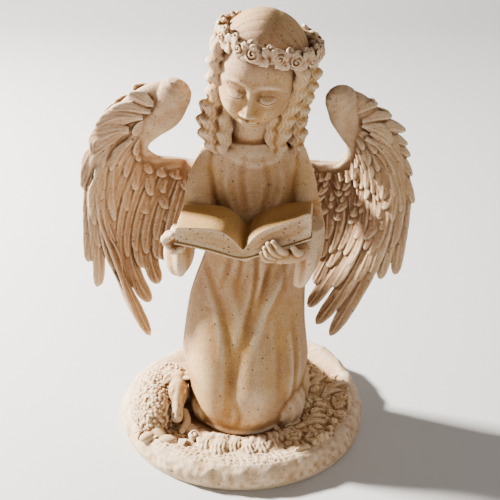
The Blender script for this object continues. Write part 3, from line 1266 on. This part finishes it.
def outer_coverts(guides, f, table, side):
    """Broad feathers from a table, which start on the ridge inside the wing's outer
    edge and run out and down past it, each over the next, so that the outline is
    stepped. Those behind (side -1) lie flatter."""
    shapes = []
    off = f * side
    for k, (u0, v0, u1, v1, near, past, width, low, high) in enumerate(table):
        calm = 1.0 if side == 1 else 0.5
        shapes.append(feather(
            guides, (u0, u1), (v0, v1), width, 3.6,
            (off * (low - 0.6) * calm, off * (high * calm + 0.4)),
            off * (0.18 + 0.08 * math.sin(2.7 * k)), 0, 0.45, 0.66, (0.5, 0.17 * width),
            off * 1.6, (near, past * (0.8 + 0.2 * calm)), 0.3, 40))
    return shapes


def bar(path, radius, steps, flat):
    """A thick bar along a path, its radius splined, its section a rounded square
    (the circle less 6 in the hundred of cos 4a), with faint grooves that wind slowly
    round it."""
    angle = bearings(44)
    t = shares(steps)
    grooves = 0.18 * np.cos(6 * angle + 5 * np.sin(7 * t)) * ease(t, 0.1, 0.3)
    square = 1 - 0.06 * np.cos(4 * angle + 0.5) * ease(t, 0.0, 0.3) * ease(-t, -1, -0.92)
    return sweep(spline(path, steps), run(radius, steps)[:, None] * square + grooves, 44,
                 (0, 1, 0), flat)


def wing(guides, root, front, thick, ridge, outer, ends, ruffle, size):
    """Long feathers, the sheet under them, the rows of small ones and the broad outer
    ones on both faces, a thick smooth leading edge, an oval in section, that ends in
    a rounded lobe, the ridge that leaves the lobe, and a thinning core that joins the
    front and back feathers down the outer edge, all melted together."""
    shapes = long_feathers(guides, front, ends) + [web(guides)]
    shapes += inner_coverts(guides, front, 1, ruffle, size)
    shapes += inner_coverts(guides, front, -1, 0.3, 1.4)
    shapes += outer_coverts(guides, front, outer, 1)
    shapes += outer_coverts(guides, front, outer, -1)
    u = np.linspace(0, 1, 8)
    lead = np.vstack([(root, 12, 180), (1.5 * root - 3, 24, 184),
                      shaft(guides, u, 0.020 * u**2 - 0.015 * (1 - u))])
    shapes.append(bar(lead, thick, 150, 0.80))
    u, v, radius = np.array(ridge).T
    shapes.append(bar(shaft(guides, u, v), radius, 90, 0.72))
    core = shaft(guides, np.full(12, 0.985), np.linspace(0.06, 0.80, 12))
    shapes.append(tube(core, [4.4, 4.2, 3.4, 2.6, 1.4], 80, 24, (0, 1, 0)))
    return melted(shapes, 0.52, 1)


# ---------------------------------------------------------------- base

RADIUS = 91.0  # the base's own circle, before it is swelled


def towards(angle, centre, width):
    """A rounded hill round the base, by bearing: its centre and width in degrees."""
    return hump((np.degrees(angle) - centre + 180) % 360 - 180, width)


def outline(angle):
    """How far the base's outline leaves its circle, the height of its raised bank,
    and how much of the front is sown with strokes, by the angle in radians."""
    return (1.5 * np.cos(2 * angle + math.pi) + 5.0 * towards(angle, 52, 28)
            + 2.0 * towards(angle, 170, 22), towards(angle, 50, 34),
            np.clip(1.6 * towards(angle, -122, 62), 0, 1))


def strokes(angle, r):
    """Short pits pointing outwards, in rows that step sideways: each is
    exp(-(across / 0.25)^2 - (along / 0.33)^2) of its cell, in a random share."""
    along = r / 3.3
    row = np.floor(along)
    across = angle * 74 / 1.55 + 0.5 * (row % 2) + 0.35 * np.sin(row * 2.1 + angle * 31)
    column = np.floor(across)
    place = (column.astype(np.int64), row.astype(np.int64), 0 * row.astype(np.int64))
    here = 0.5 + 0.5 * scatter(*place, 7)
    x = across - column - 0.5 + 0.12 * scatter(*place, 8)
    y = along - row - 0.5 + 0.12 * scatter(*place, 9)
    return ease(here, 0.10, 0.55) * bell(x, y, 0, 0, 0.25, 0.33)


def ground():
    """A turned profile out to the rim and down to a flat underside, its outline
    swelled, its front and left sown with strokes, its top and rim lumpy, with a
    shallow bed sunk under the garden. Its points lie closest together round a bearing
    of 62 degrees, by the raised bank."""
    fine = spline([(0, 17), (18, 17), (34, 16.6), (50, 15.8), (62, 15.4), (71, 16.4),
                   (79, 17.6), (84, 17), (87.6, 14.6), (90, 10.4), (90.8, 5.8),
                   (89.8, 1.8), (88.6, 0), (80, 0), (40, 0), (0, 0)], 1500)
    step = np.hypot(*np.diff(fine, axis=0).T)
    above = fine[1:, 1] > 1
    share = np.cumsum(step * np.where(above & (fine[1:, 0] > 54), 2.4, 0.5))
    pick = np.interp(np.linspace(0, share[-1], 132), share, np.arange(1499))
    profile = np.stack([np.interp(pick, np.arange(1500), fine[:, k]) for k in (0, 1)], 1)
    turn = bearings(730)
    angle = turn + 0.50 * np.sin(turn - math.radians(-118))
    out, up = profile[1:-1, :1], profile[1:-1, 1:]
    away, bank, front = outline(angle)
    r = out * (1 + away / RADIUS)
    top = ease(up, 1.5, 9)
    z = up + 5 * bank * np.clip(out / RADIUS - 0.55, 0, 1) / 0.35 * top
    x, y = r * np.cos(angle), r * np.sin(angle)
    place = np.stack(np.broadcast_arrays(x, y, z), -1)
    lump, small = noise(place, 9.0, 1), noise(place, 3.4, 2)
    zone = front * ease(r, 55, 62) * ease(-r, -89, -82)
    cuts = strokes(angle, r + 0.8 * small)
    lift = top * (0.55 * lump + 0.22 * small - 1.7 * zone * cuts + 0.6 * zone)
    lift = lift - 3.2 * top * towards(angle, 2, 62) * ease(r, 36, 46) * ease(-r, -84, -70)
    edge = (0.9 * lump + 0.45 * small) * ease(out, 80, 90) * ease(up, 1, 6)
    grow = 1 + edge / RADIUS
    return skin(np.stack([x * grow, y * grow, z + lift], -1))


def blade(points, width, thick):
    """A blade of grass: a flattened bar, half width 1 - t^2.2, down to its tip."""
    steps = 16
    t = np.linspace(0, 1, steps)
    radius = width / 2 * (1 - t**2.2) * np.minimum(1, 0.6 + 2 * t) + 0.3
    return sweep(spline(points, steps), radius, 12, (0, 0, 1), thick / width)


def polar(angle, far, z):
    """A place on the base from its bearing in degrees, distance and height."""
    return ray(math.radians(angle), far, z)


def petal_leaf(root, tip, width, bend, curl, roll):
    """A broad curling leaf: its midline rises by bend sin(pi s) less curl s^3, its
    sides lift with the square of the distance from it, its outline waves a little,
    and seven veins fan from the root."""
    root, tip = np.asarray(root, float), np.asarray(tip, float)
    along = tip - root
    side = unit(np.cross(along, [0, 0, 1.0]))
    up = unit(np.cross(side, along))
    side, up = (math.cos(roll) * side + math.sin(roll) * up,
                math.cos(roll) * up - math.sin(roll) * side)
    s = np.linspace(0.02, 0.985, 20)[:, None]
    angle = bearings(28)
    half = width / 2 * np.sin(math.pi * s**0.85) ** 0.5 * (1 + 0.05 * np.cos(26 * s))
    across = half * np.cos(angle)
    face = np.sin(angle)
    veins = np.abs(np.cos(7 * math.pi * across / width * (1 - 0.35 * s)))
    rise = 0.85 * face * np.minimum(1, half * 4 / width)
    rise = rise + bend * np.sin(math.pi * s) - curl * s**3
    rise = rise + 0.30 * (veins - 1) * (face > 0) + 0.9 * (2 * across / width) ** 2
    reach = s - 0.16 * curl / max(np.linalg.norm(along), 1) * s**3
    return skin(laid(root, (reach, along), (across, side), (rise, up)))


def tuft(bearing, far, count, spread, long, lean):
    """Blades rooted together that arch low and fall outwards side by side, fanned by
    spread and all swept one way by lean, like a comb."""
    shapes = []
    for k in range(count):
        fan = 2 * k / (count - 1) - 1
        wild = math.sin(3.7 * k + bearing)
        reach = long * (1 - 0.25 * fan**2) * (1 + 0.16 * wild)
        root = polar(bearing + 0.6 * spread * fan, far - 5, 16.0)
        middle = polar(bearing + spread * 0.7 * fan - 0.4 * lean, far + 0.15 * reach,
                       19.8 - 0.6 * abs(fan) + 0.4 * wild)
        low = polar(bearing + spread * 0.85 * fan + 0.1 * lean, far + 0.62 * reach,
                    18.2 + 0.3 * wild)
        tip = polar(bearing + spread * fan + lean, far + reach, 15.6)
        shapes.append(blade([root, middle, low, tip], 3.5 + 0.6 * math.cos(2.3 * k), 1.9))
    return shapes


def leaf_height(x, y, root, tip, width, high, bow):
    """Height of a leaf that lies on the ground: inside the outline, half width
    sin(pi s^0.8)^0.6 about a line bowed sideways, a rounded back with a groove down
    the middle and ribs that slant, or run along it where it is much bowed; 0
    outside."""
    root, tip = np.array(root, float), np.array(tip, float)
    long = np.hypot(*(tip - root))
    along = (tip - root) / long
    s = ((x - root[0]) * along[0] + (y - root[1]) * along[1]) / long
    inside = np.clip(s, 0.001, 0.999)
    t = (y - root[1]) * along[0] - (x - root[0]) * along[1] \
        - bow * np.sin(math.pi * inside)
    half = width / 2 * np.sin(math.pi * inside**0.8) ** 0.6
    q = np.clip(1 - (t / half) ** 2, 0, 1) * (np.abs(s - 0.5) < 0.499)
    slant = 0.25 if bow > 0.9 else 1.0
    ribs = 0.26 * np.cos(TURN * (slant * s * long - 0.9 * np.abs(t)) / (1.2 + 1.6 * slant))
    groove = 0.6 * hump(t, 0.6)
    body = high * (0.5 + 0.5 * np.sin(math.pi * inside)) * q**0.35
    return np.where(q > 0, body + (ribs - groove) * q**0.5, 0)


def rose_height(x, y, spot, size, high, winds, lean):
    """Height of an open rose: a domed bud with a ridge winding out of its middle, in
    a ring of five petals parted by creases, their rims raised; 0 outside."""
    dx, dy = x - spot[0], y - spot[1]
    angle = np.arctan2(dy, dx) + 0.5 * np.hypot(dx, dy) / size
    r = np.hypot(dx, dy) / size / (1 + 0.06 * np.cos(5 * angle + lean))
    q = np.clip(1 - r**2, 0, 1)
    bud = (1 - ease(r, 0.36, 0.50)) * (0.5 + 0.5 * np.cos(TURN * winds * 1.7 * r - angle))
    crease = hump(np.sin(2.5 * angle + lean / 2), 0.28) * ease(r, 0.4, 0.6)
    rim = ease(r, 0.55, 0.82)
    return np.where(q > 0, high * q**0.22 * (0.66 + 0.34 * bud + 0.14 * rim - 0.30 * crease), 0)


# The bed right of the knees. Leaves: root x, y, tip x, y, width, height, bow; roses:
# x, y, radius, height, number of winds
LEAVES = (
    (61, 5, 82, 17, 7.0, 4.2, 3.0), (59, 0, 76, 8, 6.0, 3.6, 2.6),
    (42, -35, 63, -33, 7.0, 3.8, 1.2), (45, -29, 63, -26, 5.5, 3.4, 1.4),
    (50, -24, 58, -15, 5.0, 3.6, 1.2), (52, -11, 61, -12, 4.6, 4.0, 0.8),
    (44, -63, 29, -79, 15, 3.2, -1.5), (28, -62, 36, -74, 9.0, 3.0, 1.0),
    (43, -75, 58, -61, 5.0, 2.6, -1.6), (62, -62, 70, -48, 5.5, 2.8, -1.2),
    (46, 6, 54, 22, 6.0, 2.6, 1.4), (52, 16, 66, 30, 6.0, 2.8, 2.0),
    (44, 28, 54, 42, 6.5, 2.6, 1.0), (64, 22, 76, 28, 5.5, 2.4, 1.6),
    (78, -20, 84, -8, 5.0, 2.6, 1.0), (72, -46, 78, -34, 5.0, 2.4, -1.0),
)
ROSES = (
    (53, -54, 9.2, 5.4, 1.8), (36, -49, 6.8, 4.8, 1.5), (74.5, -5, 8.6, 4.8, 2.0),
    (65.5, -34.5, 3.4, 5.8, 1.0), (62.7, -43, 2.8, 4.6, 1.0), (39.5, -17, 4.6, 6.4, 1.1),
    (46.3, -12.7, 3.8, 6.0, 1.0), (49.5, -7, 3.2, 5.4, 1.0), (71, -24, 4.6, 3.6, 1.4),
    (67, 14, 4.0, 3.4, 1.3), (58, 34, 5.4, 3.6, 1.5), (49, -44, 3.4, 4.2, 1.2),
    (74, -42, 3.2, 3.4, 1.2),
)


def garden():
    """A carved bed right of the knees: at every place on a grid of bearings and
    distances, the highest of the leaves and roses that cover it, small ones strewn
    between them, and a fine lumpy ground, sinking under the base at its rim."""
    turn = np.radians(np.linspace(-72, 58, 420))[None]
    r = np.linspace(36, 87, 170)[:, None]
    x, y = r * np.cos(turn), r * np.sin(turn)
    place = np.stack([x, y, 0 * x], -1)
    high = np.zeros_like(x)
    for k in range(110):
        a, far = math.radians(-62 + 112 * (k * 0.618 % 1)), 46 + 34 * ((k * 0.7549 + 0.31) % 1)
        spot = np.array([far * math.cos(a), far * math.sin(a)])
        lean = 2.6 * k
        end = spot + (8 + 3 * math.sin(4.1 * k)) * np.array([math.cos(lean), math.sin(lean)])
        high = np.maximum(high, leaf_height(x, y, spot, end, 5.4, 2.2 + 1.0 * math.sin(3 * k),
                                            1.6 * math.sin(1.7 * k)))
    for x0, y0, x1, y1, width, tall, bow in LEAVES:
        high = np.maximum(high, leaf_height(x, y, (x0, y0), (x1, y1), width, tall, bow))
    for n, (x0, y0, size, tall, winds) in enumerate(ROSES):
        high = np.maximum(high, rose_height(x, y, (x0, y0), size, tall, winds, 2.1 * n))
    for _ in range(3):
        high[1:-1, 1:-1] += 0.25 * (high[2:, 1:-1] + high[:-2, 1:-1] + high[1:-1, 2:]
                                    + high[1:-1, :-2] - 4 * high[1:-1, 1:-1])
    rough = 0.22 * noise(place, 1.7, 21) + 0.45 * noise(place, 5, 22)
    rim = ease(r, 36, 42) * ease(-r, -87, -79) \
        * ease(turn, math.radians(-72), math.radians(-60)) * ease(-turn, -1.01, -0.80)
    z = 10.5 + (4.6 + high + rough) * rim + 2.4 * rim * ease(r, 66, 84)
    low = np.full_like(z, 8.0)
    top, under = np.stack([x, y, z], -1), np.stack([x, y, low], -1)
    return skin(np.concatenate([top, under[:, ::-1]], axis=1))


def combed(p):
    """Grooves that fan out along a mound, |sin|^0.6 of the bearing from a point behind
    it, only over its outer half, with a few waves across."""
    fan = np.arctan2(p[..., 1], p[..., 0] + 15) + 0.03 * np.sin(0.6 * p[..., 0])
    groove = np.abs(np.sin(21 * fan)) ** 0.6
    return (1.7 * groove - 1.0) * ease(p[..., 0], -8, 4) + 0.25 * np.sin(1.1 * p[..., 0])


def grass():
    """Combed mounds and three tufts of grass before the knees, on a low bank, and on
    the left two small flowers among plump leaves."""
    shapes = [ball((1, -68, 12), (11, 17, 5.5), rows=20, columns=30),
              ball((16, -60, 12), (16, 12, 6.0), rows=20, columns=30)]
    for k in range(22):
        shapes.append(ball(polar(-142 + 4.1 * k, 56 + math.sin(2.1 * k), 13.8),
                           (6, 6, 5.0), rows=10, columns=16))
    for bearing, far, long, wide, tall in (
            (-113, 62, 10, 7, 4.4), (-104, 65, 11, 7.5, 5.0), (-95, 61, 9, 6, 4.4),
            (-86, 64, 10, 6, 4.6), (-78, 62, 11, 7, 4.4), (-70, 60, 9, 6, 4.2)):
        shapes.append(ball(polar(bearing, far, 15.2), (long, wide, tall),
                           turned(bearing + 6 * math.sin(bearing), 7, 0), 60, 160, combed))
    for bearing, far, count, spread, long, lean in (
            (-80, 55, 5, 7, 18, -6), (-71, 54, 4, 5, 16, -5), (-105, 55, 5, 7, 10, 4)):
        shapes += tuft(bearing, far, count, spread, long, lean)
    for n, (x, y, size, winds) in enumerate(((-34, -51.5, 4.2, 1.5), (-29.5, -57, 2.6, 1.1))):
        shapes.append(rose((x, y, 17.6), (0.1, -0.35, 1.0), size, 2.1 * n, winds))
    leaves = ((-57, -49, -66, -55, 7.5, 2.4), (-47, -52, -55, -61, 7.5, 2.4),
              (-40, -54, -43, -64, 6.5, 2.0), (-36, -53, -24, -52, 5, 1.8),
              (-31, -56, -24, -63, 5.5, 1.8), (-70, -44, -79, -47, 6, 1.8))
    for n, (x0, y0, x1, y1, width, bend) in enumerate(leaves):
        shapes.append(petal_leaf((x0, y0, 16.0), (x1, y1, 16.6), width, bend,
                                 1.2 + 0.4 * math.sin(2 * n), 0.2 * math.sin(1.9 * n)))
    return melted(shapes, 0.6, 1)


def wool(p):
    """Fleece: small round knobs with deep valleys between them, on larger lumps."""
    return 1.4 * np.clip(knobs(p, 2.7, 11), -0.4, 1) + 0.6 * noise(p, 8, 12) - 0.5


def lamb_head():
    """The smooth head as rings from the poll to the nose: a broad brow, a dip before
    each eye, lids with a slit between them, a narrow muzzle, nostrils and the line
    of the mouth."""
    poll, nose_end = np.array([-46.5, -14.0, 40.0]), np.array([-46.8, -40.5, 24.5])
    along = unit(nose_end - poll)
    side = unit(np.cross(along, [0.10, 0.0, 1.0]))
    up = np.cross(side, along)
    t = shares(110)
    a = bearings(96)
    level = np.linspace(0, 1, 7)
    width = run([5.6, 7.0, 7.2, 6.2, 4.6, 4.1, 4.0], 110)[:, None]
    tall = np.interp(t, level, [6.4, 7.8, 7.6, 6.6, 5.4, 4.8, 3.8])
    across, rise = np.cos(a), np.sin(a)
    turn = np.abs(np.arctan2(rise, np.abs(across)) - 0.78)
    socket = hump(t - 0.40, 0.12) * hump(turn, 0.42)
    lid = np.exp(-((((t - 0.40) / 0.075) ** 2 + (turn / 0.27) ** 2) ** 1.4))
    low = np.arctan2(rise, np.abs(across)) - 0.66 - 12 * (t - 0.40) ** 2
    slit = hump(t - 0.40, 0.075, 4) * hump(low, 0.06)
    brow = hump(t - 0.27, 0.05) * hump(turn, 0.30)
    dip = hump(t - 0.58, 0.09) * hump(rise - 0.45, 0.3)
    bridge = ease(rise, 0.80, 1.0) * ease(t, 0.35, 0.6)
    nostril = hump(t - 0.955, 0.030) * hump(np.abs(across) - 0.52, 0.16) * (rise > 0)
    lips = hump(rise + 0.10, 0.09) * ease(t, 0.66, 0.80)
    muzzle = hump(t - 0.90, 0.08) * ease(rise, -0.6, 0.2)
    more = (1.9 * lid - 1.1 * socket + 0.8 * brow - 1.0 * slit - 0.9 * dip
            + 0.4 * bridge - 1.3 * nostril - 0.8 * lips + 0.5 * muzzle)
    path = poll + t * (nose_end - poll) + 2.0 * np.sin(math.pi * t) * up
    rings = laid(path[:, None], ((width + more) * across, side), ((tall + more) * rise, up))
    dome = np.radians([20, 45, 70])[:, None, None]
    tip = rings[-1].mean(0) + np.cos(dome) * (rings[-1] - rings[-1].mean(0)) \
        + 3.0 * np.sin(dome) * along
    return skin(np.concatenate([rings, tip]))


def ear(points, width):
    """A broad ear: a flattened bar, widest a third of the way out, narrowing to its
    tip, with a furrow along its upper side."""
    t = shares(30)
    a = bearings(36)
    half = width / 2 * np.sin(math.pi * (0.16 + 0.83 * t) ** 0.8) ** 0.7
    furrow = 0.5 * hump(1 - np.abs(np.sin(a)), 0.12) * ease(t, 0.1, 0.4)
    return sweep(spline(points, 30), half * (1 - furrow), 36, (0, -0.3, 1), 0.42)


def fleece():
    """A resting lamb's woolly back, haunch and crown, low against the rim."""
    return melted([
        ball((-63, -14, 20), (18, 35, 21), rows=220, columns=300, relief=wool),
        ball((-56, 4, 29), (13, 16, 12), rows=110, columns=140, relief=wool),
        ball((-50, -6, 38), (10, 8.5, 7.5), rows=80, columns=90, relief=wool)], 0.55)


def lamb():
    """The lamb's smooth face turned down, one broad ear laid out to the side and the
    other back, and its forelegs folded under."""
    return melted([
        lamb_head(),
        ball((-46.5, -13.5, 39.5), (7.4, 7, 7.0)),
        ear([(-44, -13, 42), (-39.5, -16, 45), (-33.8, -20.5, 46.5)], 10.5),
        ear([(-49, -13, 42), (-53.5, -16, 43), (-57.5, -21, 41)], 8.5),
        tube([(-42, -30, 22), (-40, -38, 19.5), (-43, -45, 17)], [3.6, 3.2, 2.4], 20, 20),
        ball((-66.5, -52.5, 17), (6.2, 4.2, 3.6), turned(24, 0, 0)),
        ball((-52.5, -56, 17), (6.8, 4.2, 3.6), turned(-16, 0, 0)),
        tube([(-62, -40, 19), (-60, -48, 18.5), (-56, -53, 17)], [6, 5, 3.6], 20, 20)],
        0.45, 1)


# ---------------------------------------------------------------- the statue

piece("gown_and_sleeves", figure(), stone_figure, 80_000)
piece("open_book", book(), stone_book)
piece("hands", hands(), stone_figure, 24_000)
piece("face", face(), stone_figure)
piece("hair_and_curls", hair(), stone_figure, 115_000)
piece("rose_wreath", wreath(), stone_base, 85_000)
piece("wing_right_of_view", wing(RIGHT_WING, 20, 1, RIGHT_EDGE, RIGHT_RIDGE,
                                 RIGHT_OUTER, RIGHT_ENDS, 1.0, 1.0), stone_wings,
      128_000)
piece("wing_left_of_view", wing(LEFT_WING, -6, -1, LEFT_EDGE, LEFT_RIDGE,
                                LEFT_OUTER, LEFT_ENDS, 0.4, 1.55), stone_wings,
      128_000)
piece("base_ground", ground(), stone_base, 72_000)
piece("base_garden", garden(), stone_garden, 90_000)
piece("base_grass", grass(), stone_base, 50_000)
piece("lamb_fleece", fleece(), stone_base, 70_000)
piece("lamb_head_and_legs", lamb(), stone_lamb, 30_000)


# ---------------------------------------------------------------- studio

CENTRE = (cad_low + cad_high) / 2
# The camera: lens and sensor width in mm, distance, the point it looks at, and how
# many degrees it looks down
LENS, SENSOR, AWAY = 76.9, 36, 0.75
LOOK_AT = (0.0056, 0.0, 0.1387)
LOOK_DOWN = math.radians(25.7)


def plain(name, colour):
    """A matt floor colour, very slightly uneven."""
    material, tree, where = blank(name)
    shade = tuple(c * 0.97 for c in colour)
    tint = ramp(tree, cloud(tree, where, 3, 2, 0.5), (0.3, shade), (0.7, colour))
    feed(tree, tree.nodes["Principled BSDF"], Base_Color=tint, Roughness=0.9)
    return material


def studio_floor():
    """A floor that turns up into a backdrop: flat, then a quarter circle, then a
    wall, as one profile of y and z carried along x."""
    bend = np.radians(np.linspace(-90, 0, 24))
    line = np.vstack([[(-3.0, 0.0)], np.c_[1.2 + 0.6 * np.cos(bend),
                                           0.6 + 0.6 * np.sin(bend)], [(1.8, 3.0)]])
    x = np.linspace(-3, 3, 12)
    grid = np.stack(np.broadcast_arrays(x[:, None], line[None, :, 0], line[None, :, 1]),
                    -1)
    rows, columns = grid.shape[:2]
    i = np.arange(rows - 1)[:, None] * columns + np.arange(columns - 1)
    faces = np.stack([i, i + columns, i + columns + 1, i + 1], -1).reshape(-1, 4)
    mesh = to_mesh("studio_floor", (grid.reshape(-1, 3) / MM, faces))
    shaded(mesh, plain("pale_floor", (0.52, 0.51, 0.50)))
    shown("studio_floor", mesh)


def lamp(name, place, size, power, colour):
    """A soft square lamp that faces the statue."""
    light = bpy.data.lights.new(name, "AREA")
    light.size = size
    light.energy = power
    light.color = colour
    obj = shown(name, light)
    obj.location = place
    obj.rotation_euler = (CENTRE - obj.location).to_track_quat("-Z", "Y").to_euler()


def camera():
    """A long lens that looks down on the statue from the front."""
    data = bpy.data.cameras.new("camera")
    data.lens = LENS
    data.sensor_width = SENSOR
    obj = shown("camera", data)
    bpy.context.scene.camera = obj
    obj.location = (LOOK_AT[0], LOOK_AT[1] - AWAY * math.cos(LOOK_DOWN),
                    LOOK_AT[2] + AWAY * math.sin(LOOK_DOWN))
    obj.rotation_euler = (math.pi / 2 - LOOK_DOWN, 0, 0)


studio_floor()
lamp("key", (-1.18, 0.46, 0.82), 0.15, 210, (1.0, 0.97, 0.91))
lamp("fill", (0.95, -1.1, 0.85), 0.9, 9.5, (1.0, 0.90, 0.79))
lamp("rim", (0.8, 0.8, 0.9), 0.6, 2.5, (0.95, 0.96, 1.0))
camera()
world = bpy.data.worlds.new("studio")
bpy.context.scene.world = world
world.use_nodes = True
feed(world.node_tree, world.node_tree.nodes["Background"], Color=(0.80, 0.82, 0.86),
     Strength=0.14)
